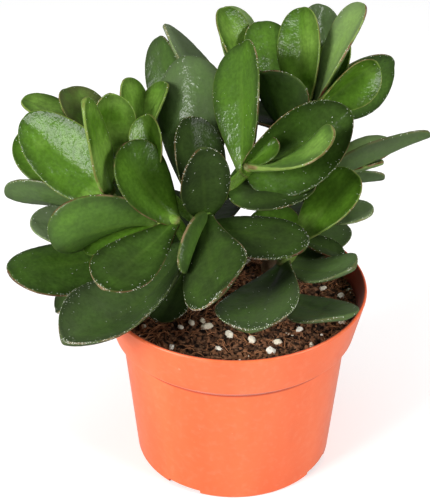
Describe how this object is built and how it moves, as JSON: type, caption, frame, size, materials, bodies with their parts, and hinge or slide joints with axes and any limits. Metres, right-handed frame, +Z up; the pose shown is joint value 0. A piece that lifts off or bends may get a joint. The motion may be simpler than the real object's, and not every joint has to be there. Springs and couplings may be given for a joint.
{
  "type": "potted jade plant",
  "caption": "Young jade plant with thick paddle-shaped leaves on branching stems, growing in a round tapered plastic nursery pot of potting mix.",
  "frame": {"origin": "centre of the pot's flat base, on the surface that the pot stands on", "axes": "+Z up along the pot's axis, -Y towards the viewer of the picture, +X to its right"},
  "size_m": [0.189, 0.1426, 0.2043],
  "materials": {
    "pot": "satin salmon-orange moulded plastic",
    "potting_mix": "dark peat with coir fibres and cream perlite",
    "jade_front": "waxy green leaves with thin reddish margins, green to brown stems",
    "jade_left": "waxy green leaves with thin reddish margins, green to brown stems",
    "jade_back": "waxy green leaves with thin reddish margins, green to brown stems",
    "jade_tall": "waxy green leaves with thin reddish margins, green to brown stems",
    "jade_right": "waxy green leaves with thin reddish margins, green to brown stems"
  },
  "bodies": {
    "root": {"pot": "pot", "potting_mix": "potting_mix", "jade_front": "jade_front", "jade_left": "jade_left", "jade_back": "jade_back", "jade_tall": "jade_tall", "jade_right": "jade_right"}
  },
  "joints": []
}
